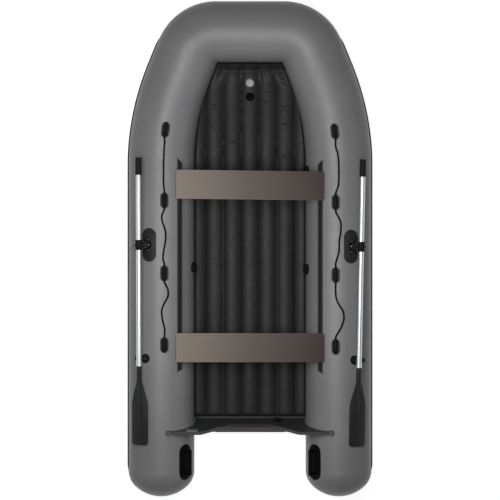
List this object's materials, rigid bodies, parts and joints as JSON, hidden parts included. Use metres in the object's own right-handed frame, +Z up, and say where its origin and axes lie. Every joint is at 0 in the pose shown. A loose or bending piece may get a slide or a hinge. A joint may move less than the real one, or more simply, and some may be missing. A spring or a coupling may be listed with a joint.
{
  "type": "inflatable dinghy",
  "caption": "Inflatable dinghy with a raised blunt bow, ribbed air floor, raked plywood transom with a motor notch, sliding bench seats, lifelines and stowed oars in swivelling oarlocks.",
  "frame": {"origin": "centre of the boat's length and width, on the plane that the tubes rest on", "axes": "+X to starboard, +Y to the bow, +Z up"},
  "size_m": [1.6016, 3.214, 0.5606],
  "materials": {
    "tube_fabric": "satin coated fabric",
    "floor_fabric": "matte coated fabric",
    "black_rubber": "matte",
    "transom_ply": "coated plywood",
    "brown_ply": "film-faced plywood",
    "black_plastic": "moulded",
    "grey_plastic": "moulded",
    "track_plastic": "extruded",
    "rope": "braided",
    "aluminium_tube": "anodised",
    "steel": "brushed"
  },
  "bodies": {
    "hull": {"side_tube_port": "tube_fabric", "side_tube_starboard": "tube_fabric", "bow_shoulder_port": "tube_fabric", "bow_shoulder_starboard": "tube_fabric", "bow_corner_port": "tube_fabric", "bow_corner_starboard": "tube_fabric", "bow_tube": "tube_fabric", "chamber_baffles": "tube_fabric", "rubbing_strake_port": "black_rubber", "rubbing_strake_starboard": "black_rubber", "air_floor": "floor_fabric", "transom_board": "transom_ply", "inner_clamp_pad": "brown_ply", "outer_clamp_pad": "brown_ply", "clamp_pad_bolts": "steel", "transom_holder_port": "tube_fabric", "transom_holder_starboard": "tube_fabric", "drain_body": "black_plastic", "tube_valve_bodies": "black_plastic", "floor_valve_body": "grey_plastic", "relief_valve": "black_plastic", "seat_track_port": "track_plastic", "seat_track_starboard": "track_plastic", "fairleads_port": "black_plastic", "fairleads_starboard": "black_plastic", "lifeline_port": "rope", "lifeline_starboard": "rope", "oarlock_pad_port": "black_plastic", "oarlock_pad_starboard": "black_plastic", "oar_rest_port": "black_plastic", "oar_rest_starboard": "black_plastic", "stern_handle_pads": "black_rubber", "stern_handle_grips": "black_rubber"},
    "front_seat": {"front_seat_board": "brown_ply", "front_seat_sliders": "track_plastic"},
    "aft_seat": {"aft_seat_board": "brown_ply", "aft_seat_sliders": "track_plastic"},
    "port_swivel": {"oarlock_swivel_port": "black_plastic"},
    "starboard_swivel": {"oarlock_swivel_starboard": "black_plastic"},
    "port_oar": {"oar_collar_port": "black_plastic", "oar_shaft_port": "aluminium_tube", "oar_grip_port": "black_rubber", "oar_blade_port": "black_plastic"},
    "starboard_oar": {"oar_collar_starboard": "black_plastic", "oar_shaft_starboard": "aluminium_tube", "oar_grip_starboard": "black_rubber", "oar_blade_starboard": "black_plastic"},
    "port_valve_cap": {"port_valve_cap": "black_plastic"},
    "starboard_valve_cap": {"starboard_valve_cap": "black_plastic"},
    "bow_valve_cap": {"bow_valve_cap": "black_plastic"},
    "floor_valve_cap": {"floor_valve_cap": "grey_plastic"},
    "drain_cap": {"drain_cap": "black_plastic"},
    "port_valve_plunger": {"port_valve_plunger": "grey_plastic"},
    "starboard_valve_plunger": {"starboard_valve_plunger": "grey_plastic"},
    "bow_valve_plunger": {"bow_valve_plunger": "grey_plastic"},
    "floor_valve_plunger": {"floor_valve_plunger": "grey_plastic"}
  },
  "joints": [
    {"name": "front_seat_slide", "type": "slide", "parent": "hull", "child": "front_seat", "axis": [0, 1, 0], "range_m": [-0.42, 0.05]},
    {"name": "aft_seat_slide", "type": "slide", "parent": "hull", "child": "aft_seat", "axis": [0, 1, 0], "range_m": [-0.06, 0.42]},
    {"name": "port_oar_swing", "type": "hinge", "parent": "hull", "child": "port_swivel", "pos_m": [-0.666, 0.036, 0.483], "axis": [0, 0, 1], "range_deg": [-100, 0]},
    {"name": "port_oar_lift", "type": "hinge", "parent": "port_swivel", "child": "port_oar", "pos_m": [-0.711, 0.036, 0.483], "axis": [1, 0, 0], "range_deg": [-6, 0]},
    {"name": "starboard_oar_swing", "type": "hinge", "parent": "hull", "child": "starboard_swivel", "pos_m": [0.666, 0.025, 0.483], "axis": [0, 0, 1], "range_deg": [0, 100]},
    {"name": "starboard_oar_lift", "type": "hinge", "parent": "starboard_swivel", "child": "starboard_oar", "pos_m": [0.71099, 0.02427, 0.483], "axis": [0.9999, -0.0162, 0], "range_deg": [-6, 0]},
    {"name": "port_valve_cap_turn", "type": "hinge", "parent": "hull", "child": "port_valve_cap", "pos_m": [-0.37339, -0.11, 0.27786], "axis": [0.9563, 0, 0.2924], "continuous": true},
    {"name": "port_valve_press", "type": "slide", "parent": "hull", "child": "port_valve_plunger", "axis": [-0.9563, 0, -0.2924], "range_m": [0, 0.005], "stiffness_N_per_m": 400},
    {"name": "starboard_valve_cap_turn", "type": "hinge", "parent": "hull", "child": "starboard_valve_cap", "pos_m": [0.37339, -0.121, 0.27786], "axis": [-0.9563, 0, 0.2924], "continuous": true},
    {"name": "starboard_valve_press", "type": "slide", "parent": "hull", "child": "starboard_valve_plunger", "axis": [0.9563, 0, -0.2924], "range_m": [0, 0.005], "stiffness_N_per_m": 400},
    {"name": "bow_valve_cap_turn", "type": "hinge", "parent": "hull", "child": "bow_valve_cap", "pos_m": [0.37339, 0.518, 0.27786], "axis": [-0.9563, 0, 0.2924], "continuous": true},
    {"name": "bow_valve_press", "type": "slide", "parent": "hull", "child": "bow_valve_plunger", "axis": [0.9563, 0, -0.2924], "range_m": [0, 0.005], "stiffness_N_per_m": 400},
    {"name": "floor_valve_cap_turn", "type": "hinge", "parent": "hull", "child": "floor_valve_cap", "pos_m": [0, 1.091, 0.27425], "axis": [0, -0.2087, 0.978], "continuous": true},
    {"name": "floor_valve_press", "type": "slide", "parent": "hull", "child": "floor_valve_plunger", "axis": [0, 0.2087, -0.978], "range_m": [0, 0.005], "stiffness_N_per_m": 400},
    {"name": "drain_cap_turn", "type": "hinge", "parent": "hull", "child": "drain_cap", "pos_m": [0.178, -1.11927, 0.19191], "axis": [0, 0.9833, 0.1822], "continuous": true}
  ]
}
